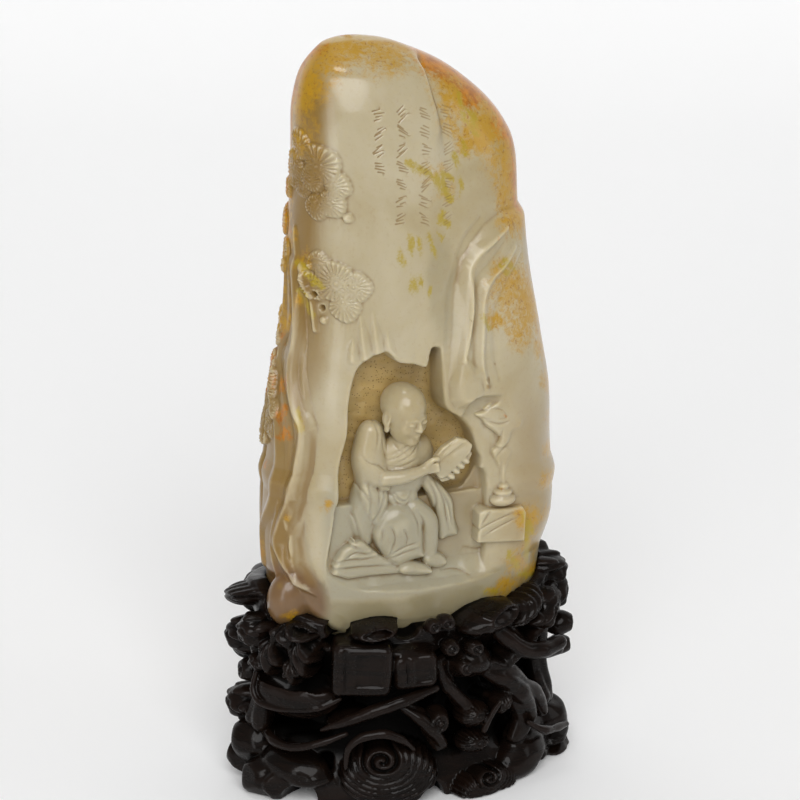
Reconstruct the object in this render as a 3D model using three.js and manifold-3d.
// A jade boulder carved with a reading monk in a rock grotto, resting in a carved rootwork stand.
// Millimetres, +Z up. The carved face looks along -Y, and the origin is on the ground under the stand.
import * as THREE from 'three';
import { mergeVertices } from 'three/addons/utils/BufferGeometryUtils.js';
import Module from 'manifold-3d';

const wasm = await Module();
wasm.setup();

// The boulder.
const BOULDER_HEIGHT = 166;
const BOULDER_WIDTH = 82;
const BOULDER_THICKNESS = 47;
const GROTTO_DEPTH = 11.5;
const ALCOVE_DEPTH = 8;
const SIDE_DEPTH = 3.5;
const CRAG_LIFT = 2.2;
const TRUNK_LIFT = 1.8;
const RIDGE_RADIUS = 2.6;
const FAN_RADIUS = 5;
const FAN_LIFT = 2.8;
const LOBE_LIFT = 2.2;

// The stand.
const STAND_HEIGHT = 60;
const SEAT_DEPTH = 17;
const SEAT_GAP = 0.3;
const END_WALL = 4.5;
const FACE_WALL = 5;
const FRONT_RIM_DROP = 10;
const FOOT_SPREAD = 4;
const WAIST_SET_BACK = 8;
const CORE_SET_BACK = 1.5;
const LOBE_BURY = 2;
const ARCH_HEIGHT = 5;

const BOULDER_BASE = STAND_HEIGHT - SEAT_DEPTH + SEAT_GAP;
const RIM_SHARE = (SEAT_DEPTH - SEAT_GAP) / BOULDER_HEIGHT;
const STAND_HALF_WIDTH = BOULDER_WIDTH / 2 + END_WALL;
const STAND_HALF_DEPTH = BOULDER_THICKNESS / 2 + FACE_WALL;

const FAR = 4 * BOULDER_HEIGHT;
const DEGREE = Math.PI / 180;

const JADE = new THREE.MeshStandardMaterial({ color: 0xb8ab86, roughness: 0.3, metalness: 0 });
const WOOD = new THREE.MeshStandardMaterial({ color: 0x1c1310, roughness: 0.35, metalness: 0 });

// The boulder's horizontal sections, from base to crown. Each has its height, its left and right edges
// as shares of the width from the middle line, its thickness, and how far its middle leans back.
const SECTIONS = [
  [0, -0.2, 0.2, 0.4, 0],
  [0.012, -0.355, 0.36, 0.72, 0],
  [0.04, -0.45, 0.455, 0.9, 0],
  [0.11, -0.469, 0.487, 0.98, 0],
  [0.21, -0.476, 0.509, 1, 0],
  [0.31, -0.46, 0.5, 1, 0],
  [0.405, -0.431, 0.493, 0.98, 0],
  [0.505, -0.397, 0.463, 0.93, 0.01],
  [0.605, -0.379, 0.43, 0.87, 0.02],
  [0.705, -0.372, 0.407, 0.8, 0.03],
  [0.8, -0.365, 0.399, 0.73, 0.04],
  [0.85, -0.361, 0.359, 0.68, 0.05],
  [0.9, -0.354, 0.276, 0.62, 0.06],
  [0.95, -0.323, 0.146, 0.5, 0.07],
  [0.985, -0.25, -0.005, 0.3, 0.08],
  [0.996, -0.234, -0.105, 0.16, 0.08],
  [1, -0.205, -0.195, 0.02, 0.08],
];
const FRONT_FULLNESS = 2.3;
const BACK_FULLNESS = 2;

// A smooth curve through rows of numbers, at a place counted in rows.
function throughRows(rows, place) {
  const i = Math.min(Math.floor(place), rows.length - 2);
  const t = place - i;
  const [p0, p1, p2, p3] = [-1, 0, 1, 2].map((k) => rows[Math.min(Math.max(i + k, 0), rows.length - 1)]);
  return p1.map((b, k) => {
    const [a, c, d] = [p0[k], p2[k], p3[k]];
    const [square, cube] = [2 * a - 5 * b + 4 * c - d, 3 * b - a - 3 * c + d];
    return 0.5 * (2 * b + (c - a) * t + square * t * t + cube * t ** 3);
  });
}

// The section at a share of the boulder's height, in millimetres.
function sectionAt(share) {
  const last = SECTIONS.length - 1;
  let i = 0;
  while (i < last - 1 && SECTIONS[i + 1][0] < share) i += 1;
  const [low, high] = [SECTIONS[i][0], SECTIONS[i + 1][0]];
  const place = i + Math.min(Math.max((share - low) / (high - low), 0), 1);
  return sectionInRows(place);
}

function sectionInRows(place) {
  const [share, left, right, thickness, lean] = throughRows(SECTIONS, place);
  return {
    height: BOULDER_BASE + share * BOULDER_HEIGHT,
    middle: ((left + right) / 2) * BOULDER_WIDTH,
    halfWidth: ((right - left) / 2) * BOULDER_WIDTH,
    halfDepth: (thickness / 2) * BOULDER_THICKNESS,
    lean: lean * BOULDER_THICKNESS,
  };
}

const power = (value, exponent) => Math.sign(value) * Math.abs(value) ** exponent;

// A point on the boulder's skin, grown outward by a distance. Angle 0 is the right edge and -90 the face.
function skinPoint(section, angle, grow = 0) {
  const fullness = Math.sin(angle) < 0 ? FRONT_FULLNESS : BACK_FULLNESS;
  return new THREE.Vector3(
    section.middle + (section.halfWidth + grow) * power(Math.cos(angle), 2 / fullness),
    section.lean + (section.halfDepth + grow) * power(Math.sin(angle), 2 / fullness),
    section.height,
  );
}

// A point on the carved face: across from -1 to 1, up from 0 to 1, and out from the skin in millimetres.
function facePoint([across, up], out = 0) {
  const s = sectionAt(up);
  const bulge = Math.max(1 - Math.abs(across) ** FRONT_FULLNESS, 0) ** (1 / FRONT_FULLNESS);
  return new THREE.Vector3(s.middle + across * s.halfWidth, s.lean - s.halfDepth * bulge - out, s.height);
}

// Solids.

function solid(geometry) {
  const bare = geometry.index ? geometry.toNonIndexed() : geometry.clone();
  bare.deleteAttribute('normal');
  bare.deleteAttribute('uv');
  const merged = mergeVertices(bare, 1e-4);
  return new wasm.Manifold(new wasm.Mesh({
    numProp: 3,
    vertProperties: new Float32Array(merged.attributes.position.array),
    triVerts: new Uint32Array(merged.index.array),
  }));
}

const joined = (solids) => solids.reduce((whole, next) => whole.add(next));

// Moves every vertex of a geometry by a function.
function reshaped(geometry, move) {
  const places = geometry.attributes.position;
  const point = new THREE.Vector3();
  for (let i = 0; i < places.count; i += 1) {
    point.fromBufferAttribute(places, i);
    const { x, y, z } = move(point.clone());
    places.setXYZ(i, x, y, z);
  }
  return geometry;
}

// An egg with its own axes turned by degrees about Y, as seen from the face, and then about Z.
function egg(centre, radii, { tilt = 0, turn = 0, around = 7, down = 4 } = {}) {
  const geometry = new THREE.SphereGeometry(1, around, down).rotateX(Math.PI / 2);
  geometry.scale(...radii).rotateY(tilt * DEGREE).rotateZ(turn * DEGREE).translate(...centre);
  return solid(geometry);
}

// A round bar along a smooth line, with its radius given at points along it.
function bar(points, radii, { sides = 5, steps = 6 } = {}) {
  const line = new THREE.CatmullRomCurve3(points);
  const frames = line.computeFrenetFrames(steps);
  const geometry = new THREE.CylinderGeometry(1, 1, 1, sides, steps);
  return solid(reshaped(geometry, ({ x, y, z }) => {
    const along = y + 0.5;
    const step = Math.round(along * steps);
    const [radius] = throughRows(radii.map((r) => [r]), along * (radii.length - 1));
    return line.getPointAt(along)
      .addScaledVector(frames.normals[step], x * radius)
      .addScaledVector(frames.binormals[step], -z * radius);
  }));
}

// A block whose outline is drawn across and up, and which runs from one Y to another.
function slab(outline, front, back, smooth = false) {
  const corners = outline.map(([x, z]) => new THREE.Vector2(x, z));
  const shape = smooth
    ? new THREE.Shape(new THREE.SplineCurve([...corners, corners[0]]).getPoints(2 * corners.length))
    : new THREE.Shape(corners);
  const geometry = new THREE.ExtrudeGeometry(shape, { depth: back - front, bevelEnabled: false });
  return solid(geometry.rotateX(Math.PI / 2).translate(0, back, 0));
}

function box(centre, size, { tilt = 0, turn = 0 } = {}) {
  const geometry = new THREE.BoxGeometry(...size).rotateY(tilt * DEGREE).rotateZ(turn * DEGREE);
  return solid(geometry.translate(...centre));
}

// The bare boulder, or the same form grown by a distance, or shifted across and forward at each height.
function boulderBody({ grow = 0, shift = () => [0, 0] } = {}) {
  const around = 24;
  const levels = 19;
  const last = SECTIONS.length - 1;
  const geometry = new THREE.SphereGeometry(1, around, levels);
  return solid(reshaped(geometry, ({ x, y, z }) => {
    const rise = 1 - Math.acos(THREE.MathUtils.clamp(y, -1, 1)) / Math.PI;
    const section = sectionInRows(rise * last);
    const [across, forward] = shift((section.height - BOULDER_BASE) / BOULDER_HEIGHT);
    section.height += grow * (2 * rise - 1);
    const pole = Math.hypot(x, z) < 1e-6;
    const point = pole
      ? new THREE.Vector3(section.middle, section.lean, section.height)
      : skinPoint(section, Math.atan2(-z, x), grow);
    return point.add(new THREE.Vector3(across, -forward, 0));
  }));
}

// Reliefs on the boulder. A plate is the skin raised inside an outline.

const onFace = (outline) => outline.map((place) => {
  const point = facePoint(place);
  return [point.x, point.z];
});

// The skin is raised by shifting the whole form forward and outward, so that the step dies away at the back.
function plate(outline, shift) {
  return boulderBody({ shift }).intersect(slab(onFace(outline), -FAR, FAR));
}

function ridge(path, radii, sink = 0.45) {
  const points = path.map((place) => facePoint(place, -sink * RIDGE_RADIUS));
  return bar(points, radii.map((r) => r * RIDGE_RADIUS), { steps: path.length + 1 });
}

// The right-hand crag ends in a hanging point over the grotto.
const CRAG_OUTLINE = [
  [0.52, 0.7], [0.36, 0.674], [0.2, 0.615], [0.15, 0.57], [0.09, 0.456], [0.13, 0.405], [0.32, 0.416],
  [0.42, 0.45], [0.62, 0.44], [0.76, 0.37], [0.8, 0.24], [0.78, RIM_SHARE + 0.04], [1.6, RIM_SHARE + 0.02],
  [1.6, 0.72], [0.9, 0.705],
];
const CRAG_RIDGES = [
  {
    path: [[0.63, 0.69], [0.4, 0.66], [0.28, 0.61], [0.25, 0.55], [0.17, 0.47]],
    radii: [0.5, 0.9, 0.8, 0.5],
  },
  {
    path: [[0.69, 0.647], [0.47, 0.617], [0.37, 0.58], [0.32, 0.53], [0.3, 0.47]],
    radii: [0.4, 0.9, 0.7, 0.4],
  },
];

function crag() {
  return joined([
    plate(CRAG_OUTLINE, () => [CRAG_LIFT / 3, CRAG_LIFT]),
    ...CRAG_RIDGES.map(({ path, radii }) => ridge(path, radii, 0.1)),
  ]);
}

// The pine's trunk climbs the left edge, and its root runs in under the rock lump at the foot.
const TRUNK_OUTLINE = [
  [-0.86, 0.64], [-0.9, 0.54], [-0.86, 0.43], [-0.81, 0.35], [-0.83, 0.235], [-0.85, RIM_SHARE + 0.04],
  [-0.78, RIM_SHARE + 0.008], [-1.7, RIM_SHARE + 0.008], [-1.7, 0.66],
];
const TRUNK_RIDGES = [
  {
    path: [
      [-0.95, 0.69], [-0.95, 0.54], [-0.92, 0.42], [-0.86, 0.36], [-0.88, 0.26], [-0.92, 0.18],
      [-0.88, RIM_SHARE + 0.03],
    ],
    radii: [0.5, 0.8, 0.8, 0.7],
  },
  {
    path: [[-0.99, 0.62], [-0.985, 0.5], [-0.975, 0.38], [-0.97, 0.28], [-0.985, RIM_SHARE + 0.07]],
    radii: [0.5, 0.8, 0.9, 0.8],
  },
];
const ROOT_PATH = [[-0.93, 0.2], [-0.86, 0.12], [-0.79, 0.075], [-0.64, 0.045]];
const ROOT_LUMP = { at: [-0.93, 0.085], size: [0.079, 0.063, 0.098] };

function trunk() {
  return joined([
    plate(TRUNK_OUTLINE, () => [-TRUNK_LIFT / 2, TRUNK_LIFT]),
    ...TRUNK_RIDGES.map(({ path, radii }) => ridge(path, radii)),
  ]);
}

// What reaches down into the stand's seat, also grown by the seat's clearance to cut that seat.
function boulderFoot(grow = 0) {
  const path = ROOT_PATH.map((place) => facePoint(place, -0.45 * RIDGE_RADIUS));
  const lump = facePoint(ROOT_LUMP.at).toArray();
  return joined([
    boulderBody({ grow }),
    bar(path, [0.8, 0.8, 0.6].map((r) => r * RIDGE_RADIUS + grow), { steps: 4 }),
    egg(lump, ROOT_LUMP.size.map((r) => r * BOULDER_WIDTH + grow), { tilt: 12 }),
  ]);
}

// The crown's front lobe laps over the rest of the crown, and sinks back into the face lower down.
const CREASE = [[1.6, 1.1], [1, 0.972], [0.55, 0.942], [0.32, 0.889], [0.2, 0.811], [0.12, 0.6]];

function frontLobe() {
  const rise = (share) => THREE.MathUtils.smoothstep(share, 0.6, 0.9);
  return plate([...CREASE, [-1.6, 0.6], [-1.6, 1.1]], (share) => [0, LOBE_LIFT * rise(share)]);
}

// A pine fan: a scalloped button on the skin, at degrees round the boulder and a share of its height.
function fan({ at: [angle, up], size }) {
  const scallops = 5;
  const section = sectionAt(up);
  const [cos, sin] = [Math.cos(angle * DEGREE), Math.sin(angle * DEGREE)];
  const out = new THREE.Vector3(cos / section.halfWidth, sin / section.halfDepth, 0).normalize();
  const facing = new THREE.Quaternion().setFromUnitVectors(new THREE.Vector3(0, 0, 1), out);
  const centre = skinPoint(section, angle * DEGREE);
  const button = new THREE.SphereGeometry(1, 2 * scallops, 3).rotateX(Math.PI / 2);
  return solid(reshaped(button, ({ x, y, z }) => {
    const edge = Math.hypot(x, y);
    const radius = edge < 0.1 ? 0 : size * FAN_RADIUS * (1 + 0.09 * Math.cos(scallops * Math.atan2(y, x)));
    const height = (edge < 0.1 ? 1 : 0.7) * (z > 0 ? FAN_LIFT : -FAN_LIFT);
    return new THREE.Vector3((x / edge || 0) * radius, (y / edge || 0) * radius, height)
      .applyQuaternion(facing).add(centre);
  }));
}

// The pine's tufts: two bunches on the face's left edge, and smaller ones round the side and the back.
const TUFTS = [
  { at: [221, 0.81], size: 1.15 }, { at: [229, 0.765], size: 0.9 }, { at: [198, 0.8], size: 1 },
  { at: [206, 0.838], size: 0.9 }, { at: [212, 0.755], size: 0.8 },
  { at: [221, 0.628], size: 1.2 }, { at: [237, 0.615], size: 0.85 }, { at: [227, 0.58], size: 0.95 },
  { at: [207, 0.62], size: 0.9 },
  { at: [170, 0.445], size: 1.1 }, { at: [172, 0.38], size: 1.1 }, { at: [144, 0.69], size: 1.2 },
];

// Stiff blades of grass stand over the grotto.
const BLADES = [
  [[-0.66, 0.5], [-0.65, 0.53]], [[-0.55, 0.51], [-0.56, 0.578]], [[-0.43, 0.52], [-0.46, 0.578]],
  [[-0.31, 0.51], [-0.35, 0.548]],
];
const inBoulder = (sizes) => sizes.map((share) => share * BOULDER_WIDTH);
const blade = (path) => bar(
  path.map((place) => facePoint(place)), inBoulder([0.018, 0.016, 0.005]), { sides: 4, steps: 2 },
);

// The grotto and the alcove with its sloping floor are cut into the face.
const GROTTO_OUTLINE = [
  [-0.64, 0.24], [-0.67, 0.31], [-0.64, 0.376], [-0.65, 0.428], [-0.62, 0.48], [-0.54, 0.501], [-0.41, 0.513],
  [-0.29, 0.492], [-0.09, 0.484], [-0.05, 0.512], [0.03, 0.51], [0.05, 0.45], [0.08, 0.408], [0.2, 0.388],
  [0.29, 0.363], [0.34, 0.329], [0.38, 0.3], [0.37, 0.275], [0.27, 0.252], [0.04, 0.245],
];
const LEDGE = 0.094;
const ALCOVE_OUTLINE = [
  [-0.67, LEDGE], [0.3, LEDGE], [0.42, 0.11], [0.42, 0.26], [0.3, 0.3], [-0.5, 0.32], [-0.65, 0.27],
  [-0.74, 0.15],
];
const SIDE_OUTLINE = [
  [0.3, LEDGE], [0.4, 0.103], [0.72, 0.15], [0.72, 0.23], [0.7, 0.34], [0.62, 0.42], [0.4, 0.43], [0.2, 0.4],
];
const faceLevel = facePoint([0, 0.3]).y;
const grottoBack = faceLevel + GROTTO_DEPTH;
const alcoveBack = faceLevel + ALCOVE_DEPTH;
const sideBack = faceLevel + SIDE_DEPTH;

function hollows() {
  return joined([
    slab(onFace(GROTTO_OUTLINE), -FAR, grottoBack, true),
    slab(onFace(ALCOVE_OUTLINE), -FAR, alcoveBack),
    slab(onFace(SIDE_OUTLINE), -FAR, sideBack),
  ]);
}

// The alcove's floor slopes up from the ledge to its back wall, where it becomes a bank behind the figure.
function alcoveFloor() {
  const depth = ALCOVE_DEPTH;
  const ledge = facePoint([0, LEDGE]);
  const bank = facePoint([0, 0.25]).z;
  const profile = [
    [ledge.y + 0.1 * depth, ledge.z - 0.4 * depth], [ledge.y - 0.1 * depth, ledge.z],
    [alcoveBack - 0.25 * depth, ledge.z + 0.95 * depth], [alcoveBack - 0.15 * depth, bank],
    [0, bank], [0, ledge.z - 0.4 * depth],
  ].map(([y, z]) => new THREE.Vector2(y, z));
  const [left, right] = [facePoint([-0.74, 0.12]).x, facePoint([0.72, 0.15]).x];
  const extent = { depth: right - left, bevelEnabled: false };
  const geometry = new THREE.ExtrudeGeometry(new THREE.Shape(profile), extent);
  // The profile is drawn in Y and Z, so its depth is turned to run along X.
  const turned = new THREE.Matrix4().makeBasis(
    new THREE.Vector3(0, 1, 0), new THREE.Vector3(0, 0, 1), new THREE.Vector3(1, 0, 0),
  );
  return solid(geometry.applyMatrix4(turned).translate(left, 0, 0)).intersect(boulderBody());
}

// The seated monk, in shares of the figure's height: across, out from the grotto's back, and up.
const FIGURE_HEIGHT = 0.322 * BOULDER_HEIGHT;
const FIGURE_FOOT = facePoint([-0.22, 0.131]);
const inFigure = ([across, out, up]) => new THREE.Vector3(
  FIGURE_FOOT.x + across * FIGURE_HEIGHT,
  grottoBack - out * FIGURE_HEIGHT,
  FIGURE_FOOT.z + up * FIGURE_HEIGHT,
);
const BODY_FORMS = [
  // Head, jaw and neck, chest, and the robe down the back.
  { at: [0.05, 0.125, 0.876], size: [0.126, 0.108, 0.122] },
  { at: [0.075, 0.145, 0.765], size: [0.088, 0.085, 0.09], tilt: 12 },
  { at: [0.04, 0.1, 0.67], size: [0.1, 0.07, 0.1] },
  { at: [0.03, 0.09, 0.55], size: [0.17, 0.095, 0.2] },
  { at: [-0.15, 0.08, 0.36], size: [0.11, 0.1, 0.26], tilt: 6 },
  // Lap and feet.
  { at: [0.03, 0.12, 0.24], size: [0.17, 0.11, 0.13] },
  { at: [0.1, 0.165, 0.01], size: [0.09, 0.06, 0.045] },
  { at: [0.21, 0.14, 0.045], size: [0.065, 0.055, 0.04] },
];
const LIMBS = [
  // Near upper arm and forearm.
  { path: [[-0.12, 0.11, 0.72], [-0.155, 0.13, 0.6], [-0.12, 0.15, 0.48]], radii: [0.08, 0.1, 0.085] },
  { path: [[-0.12, 0.17, 0.49], [0.02, 0.2, 0.475], [0.22, 0.19, 0.55]], radii: [0.07, 0.045, 0.035] },
  // Far sleeve, which falls from under the book to the seat.
  { path: [[0.16, 0.1, 0.54], [0.23, 0.1, 0.36], [0.27, 0.08, 0.2]], radii: [0.06, 0.06, 0.07] },
  // Near thigh and shin, and far shin, under the robe.
  { path: [[-0.14, 0.11, 0.24], [-0.02, 0.15, 0.23], [0.04, 0.17, 0.18]], radii: [0.1, 0.1, 0.1] },
  { path: [[0.04, 0.16, 0.22], [0.045, 0.17, 0.12], [0.04, 0.15, 0.03]], radii: [0.12, 0.11, 0.09] },
  { path: [[0.13, 0.14, 0.31], [0.175, 0.15, 0.2], [0.18, 0.13, 0.07]], radii: [0.065, 0.065, 0.055] },
];
const BOOK = { at: [0.3, 0.17, 0.585], size: [0.24, 0.075, 0.11], tilt: -41 };

function monk() {
  const scaled = (size) => size.map((share) => share * FIGURE_HEIGHT);
  return joined([
    ...BODY_FORMS.map(({ at, size, tilt }) => egg(inFigure(at).toArray(), scaled(size), { tilt })),
    ...LIMBS.map(({ path, radii }) => bar(path.map(inFigure), scaled(radii), { steps: 3 })),
    box(inFigure(BOOK.at).toArray(), scaled(BOOK.size), { tilt: BOOK.tilt }),
  ]);
}

// Beside him: a rock to sit on, and a rock table with a covered censer and its curl of smoke.
const SMOKE = [[0.47, 0.276], [0.43, 0.3], [0.53, 0.33], [0.56, 0.36], [0.4, 0.372], [0.27, 0.398]];
const CLOUD = [[0.27, 0.398], [0.42, 0.415], [0.58, 0.408], [0.6, 0.38], [0.66, 0.352]];

function furnishings() {
  const at = (place, sunk) => facePoint(place, -sunk * ALCOVE_DEPTH).toArray();
  const size = (across, deep, up) => [across * BOULDER_WIDTH, deep * ALCOVE_DEPTH, up * BOULDER_WIDTH];
  const curl = (path, radii, steps) => bar(
    path.map((place) => facePoint(place, -0.25 * SIDE_DEPTH)), inBoulder(radii), { sides: 4, steps },
  );
  return joined([
    egg(at([-0.5, 0.162], 0.5), size(0.11, 0.75, 0.1), { tilt: 15, around: 6 }),
    box(at([0.47, 0.205], 0.4), size(0.18, 1, 0.14), { tilt: 3, turn: 12 }),
    egg(at([0.47, 0.257], 0.3), size(0.07, 0.58, 0.05), { around: 8 }),
    curl(SMOKE, [0.018, 0.021, 0.027, 0.02], 7),
    curl(CLOUD, [0.018, 0.032, 0.032, 0.02], 5),
  ]);
}

function jadeBoulder() {
  const carved = boulderFoot().add(frontLobe()).add(crag()).subtract(hollows());
  return joined([
    carved, trunk(), alcoveFloor(), furnishings(), monk(),
    ...TUFTS.map(fan), ...BLADES.map(blade),
  ]);
}

// The stand.

// A point on an oval round the stand, some millimetres outside the rim's oval. -90 degrees is in front.
function ovalPoint(angle, height, proud) {
  const [cos, sin] = [Math.cos(angle * DEGREE), Math.sin(angle * DEGREE)];
  return new THREE.Vector3((STAND_HALF_WIDTH + proud) * cos, (STAND_HALF_DEPTH + proud) * sin, height);
}

// The stand's carving is placed by [degrees, height, stand-off], the last two as shares of the stand's
// height, and its sizes are shares of that height too.
const sidePoint = ([angle, up, out]) => ovalPoint(angle, up * STAND_HEIGHT, out * STAND_HEIGHT);
const inStand = (sizes) => sizes.map((share) => share * STAND_HEIGHT);

// The core under the carving: it spreads to its feet, draws in at the waist, and its rim dips in front.
function standCore() {
  const around = 20;
  const levels = 4;
  const backDip = 0.5;
  const geometry = new THREE.CylinderGeometry(1, 1, 1, around, levels);
  return solid(reshaped(geometry, ({ x, y, z }) => {
    const up = y + 0.5;
    const angle = Math.atan2(-z, x);
    const dip = Math.max(-Math.sin(angle), backDip * Math.sin(angle), 0);
    const spread = FOOT_SPREAD * (1 - up) ** 2 - WAIST_SET_BACK * Math.sin(Math.PI * up) ** 2 - CORE_SET_BACK;
    const edge = ovalPoint(angle / DEGREE, up * (STAND_HEIGHT - FRONT_RIM_DROP * dip), spread);
    const inward = Math.min(Math.hypot(x, z), 1);
    return new THREE.Vector3(edge.x * inward, edge.y * inward, edge.z);
  }));
}

// A lobe grows out of the core to its face. Its size is along the side and upward.
const lobe = ({ at: [angle, up], face, size, tilt = 0 }) => {
  const proud = face * STAND_HEIGHT;
  const reach = (proud + WAIST_SET_BACK + CORE_SET_BACK + LOBE_BURY) / 2;
  const [along, upward] = inStand(size);
  const centre = ovalPoint(angle, up * STAND_HEIGHT, proud - reach).toArray();
  return egg(centre, [along, reach, upward], { tilt, turn: angle + 90, around: 6 });
};

const root = ({ path, radii }) => bar(path.map(sidePoint), inStand(radii), { steps: path.length });
const block = ({ at, size, tilt }) => box(sidePoint(at).toArray(), inStand(size), { tilt, turn: at[0] + 90 });

// A wave that rolls up into a spiral on the stand's side.
function wave({ at: [angle, up, out], radius, thickness, turns, sense, start }) {
  const steps = Math.ceil(turns * 8);
  const closing = 0.72;
  const rise = 0.025;
  const path = Array.from({ length: steps }, (_, i) => {
    const share = i / (steps - 1);
    const reach = radius * (1 - closing * share);
    const swing = start * DEGREE + sense * share * turns * 2 * Math.PI;
    const along = (reach * STAND_HEIGHT * Math.cos(swing)) / STAND_HALF_WIDTH / DEGREE;
    return sidePoint([angle + along, up + reach * Math.sin(swing), out + rise * share]);
  });
  return bar(path, inStand([thickness, 0.9 * thickness, 0.6 * thickness]), { sides: 4, steps: steps - 1 });
}

const LOBES = [
  // Leaves and fungus along the rim, from the left end round the front to the right end.
  { at: [176, 0.91], face: 0.083, size: [0.158, 0.07], tilt: -14 },
  { at: [180, 0.71], face: 0.1, size: [0.117, 0.09], tilt: -18 },
  { at: [193, 0.8], face: 0.092, size: [0.09, 0.083], tilt: -20 },
  { at: [213, 0.84], face: 0.083, size: [0.103, 0.083] },
  { at: [213, 0.71], face: 0.1, size: [0.083, 0.133], tilt: 6 },
  { at: [225, 0.77], face: 0.083, size: [0.093, 0.133], tilt: -12 },
  { at: [247.6, 0.875], face: 0.067, size: [0.137, 0.067], tilt: -4 },
  { at: [265, 0.85], face: 0.04, size: [0.1, 0.067] },
  { at: [287.6, 0.86], face: 0.083, size: [0.183, 0.103], tilt: -6 },
  { at: [319, 0.92], face: 0.075, size: [0.108, 0.08], tilt: -30 },
  { at: [325, 0.8], face: 0.092, size: [0.093, 0.113], tilt: 10 },
  { at: [348, 0.9], face: 0.058, size: [0.133, 0.083], tilt: 8 },
  // A knot with two round knobs, leaves, buds and fluted pine balls on the side.
  { at: [279.5, 0.68], face: 0.067, size: [0.117, 0.12] },
  { at: [273.7, 0.755], face: 0.093, size: [0.05, 0.05] },
  { at: [284, 0.715], face: 0.1, size: [0.05, 0.05] },
  { at: [299, 0.67], face: 0.073, size: [0.1, 0.067], tilt: -22 },
  { at: [347, 0.62], face: 0.1, size: [0.067, 0.07] },
  { at: [350, 0.5], face: 0.1, size: [0.063, 0.06] },
  { at: [182, 0.54], face: 0.073, size: [0.067, 0.067] },
  { at: [182, 0.37], face: 0.1, size: [0.123, 0.093] },
  { at: [268, 0.42], face: 0.067, size: [0.077, 0.083], tilt: 14 },
  { at: [282, 0.41], face: 0.083, size: [0.097, 0.08] },
  { at: [284, 0.25], face: 0.092, size: [0.1, 0.073] },
  { at: [330, 0.27], face: 0.083, size: [0.123, 0.09], tilt: -12 },
  // Rocky feet.
  { at: [187, 0.2], face: 0.083, size: [0.123, 0.127] },
  { at: [178, 0.1], face: 0.1, size: [0.093, 0.117] },
  { at: [196, 0.07], face: 0.1, size: [0.117, 0.127] },
  { at: [208, 0.07], face: 0.083, size: [0.107, 0.11] },
  { at: [305, 0.14], face: 0.083, size: [0.175, 0.183] },
  { at: [354, 0.12], face: 0.083, size: [0.15, 0.15] },
  { at: [352, 0.34], face: 0.033, size: [0.117, 0.142] },
];
const ROOTS = [
  // The rim of a hanging bowl, and a root that rises from its foot to the block.
  {
    path: [[203, 0.7, 0], [197, 0.54, 0.017], [206, 0.43, 0.05], [222, 0.44, 0.042], [237, 0.53, 0]],
    radii: [0.037, 0.043, 0.05, 0.047, 0.04],
  },
  {
    path: [[208, 0.3, -0.017], [225, 0.35, 0.017], [242, 0.44, 0.025], [267, 0.56, -0.017]],
    radii: [0.067, 0.057, 0.05, 0.043],
  },
  // A swelling root and a budding branch on the right.
  {
    path: [[290, 0.66, -0.017], [302, 0.54, 0.008], [312, 0.42, 0.008], [318, 0.33, -0.017]],
    radii: [0.057, 0.08, 0.083, 0.06],
  },
  {
    path: [[301, 0.68, -0.05], [318, 0.59, 0], [334, 0.57, 0.04], [346, 0.57, 0.05]],
    radii: [0.07, 0.063, 0.053, 0.05],
  },
  // Roots that carry the rim at the left end and the right end.
  { path: [[190, 0.84, -0.017], [195, 0.6, -0.017], [191, 0.34, -0.017]], radii: [0.057, 0.057, 0.073] },
  { path: [[333, 0.84, -0.017], [336, 0.62, -0.033], [340, 0.3, -0.017]], radii: [0.077, 0.067, 0.077] },
];
// Blocks of squared rock: two side by side under the front rim, and one at the foot.
const BLOCKS = [
  { at: [241, 0.66, -0.033], size: [0.258, 0.2, 0.208], tilt: 1 },
  { at: [257, 0.655, -0.033], size: [0.217, 0.2, 0.158], tilt: -3 },
  { at: [226, 0.2, -0.033], size: [0.25, 0.183, 0.267], tilt: 8 },
];
const WAVES = [
  { at: [251, 0.18, 0.017], radius: 0.192, thickness: 0.045, turns: 1.25, sense: -1, start: 200 },
  { at: [285, 0.1, 0.033], radius: 0.125, thickness: 0.04, turns: 1.1, sense: 1, start: 170 },
  { at: [336, 0.13, 0.033], radius: 0.11, thickness: 0.038, turns: 1.1, sense: -1, start: 150 },
];
const WAVE_BANKS = [
  { at: [253, 0.14], face: 0.05, size: [0.25, 0.208] },
  { at: [285, 0.08], face: 0.067, size: [0.183, 0.142], tilt: 14 },
  { at: [335, 0.12], face: 0.067, size: [0.133, 0.142] },
];

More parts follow.
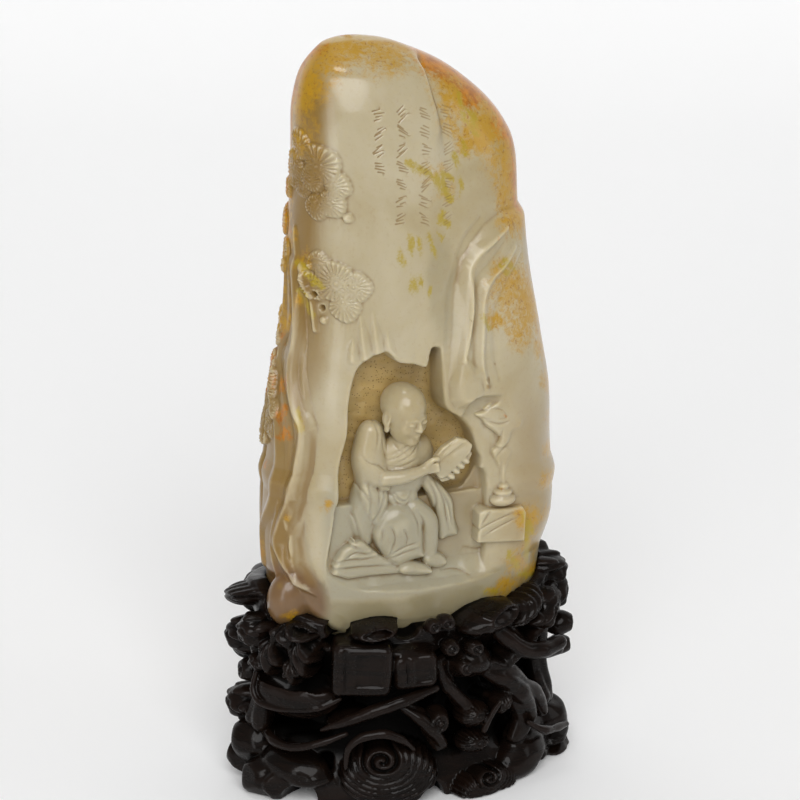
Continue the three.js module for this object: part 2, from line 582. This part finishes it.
// Behind, the same lobes, roots and feet are repeated more plainly.
function backCarving() {
  const bays = 4;
  const [first, last] = [30, 150];
  return Array.from({ length: bays }, (_, i) => {
    const angle = first + ((last - first) * i) / (bays - 1);
    const side = i % 2 ? 1 : -1;
    return [
      lobe({ at: [angle, 0.85], face: 0.067, size: [0.183, 0.097], tilt: 12 * side }),
      lobe({ at: [angle + 18, 0.64], face: 0.067, size: [0.133, 0.1], tilt: -20 * side }),
      lobe({ at: [angle - 4, 0.13], face: 0.075, size: [0.2, 0.158], tilt: 8 * side }),
      root({
        path: [[angle - 9, 0.74, -0.017], [angle, 0.54, 0.01], [angle + 7 * side, 0.36, 0], [angle, 0.16, 0]],
        radii: [0.053, 0.06, 0.053, 0.077],
      }),
    ];
  }).flat();
}

// Low arches between the feet.
function footArches() {
  return [218, 268, 317, 2, 46, 86, 126, 168].map((angle) => {
    const at = ovalPoint(angle, 0, 0).toArray();
    return egg(at, [0.9 * ARCH_HEIGHT, 2.4 * ARCH_HEIGHT, ARCH_HEIGHT], { turn: angle + 90, around: 6 });
  });
}

function carvedStand() {
  const ground = slab([[-FAR, -FAR], [FAR, -FAR], [FAR, 0], [-FAR, 0]], -FAR, FAR);
  const carving = joined([
    standCore(),
    ...LOBES.map(lobe),
    ...WAVE_BANKS.map(lobe),
    ...ROOTS.map(root),
    ...BLOCKS.map(block),
    ...WAVES.map(wave),
    ...backCarving(),
  ]);
  return carving.subtract(joined(footArches())).subtract(boulderFoot(SEAT_GAP)).subtract(ground);
}

// A carved solid has no sealed pockets, so what its forms close off between them is filled.
function withoutPockets(shape) {
  return joined(shape.decompose().filter((piece) => piece.volume() > 0));
}

function mesh(name, shape, material) {
  const { vertProperties, triVerts, numProp } = shape.getMesh();
  const corners = new Float32Array((vertProperties.length / numProp) * 3);
  for (let i = 0; i < corners.length / 3; i += 1) {
    corners.set(vertProperties.subarray(i * numProp, i * numProp + 3), i * 3);
  }
  const geometry = new THREE.BufferGeometry();
  geometry.setAttribute('position', new THREE.BufferAttribute(corners, 3));
  geometry.setIndex(new THREE.BufferAttribute(triVerts, 1));
  geometry.computeVertexNormals();
  const made = new THREE.Mesh(geometry, material);
  made.name = name;
  return made;
}

const carving = new THREE.Group();
carving.add(mesh('jade_boulder', withoutPockets(jadeBoulder()), JADE));
carving.add(mesh('carved_wood_stand', withoutPockets(carvedStand()), WOOD));

export default carving;
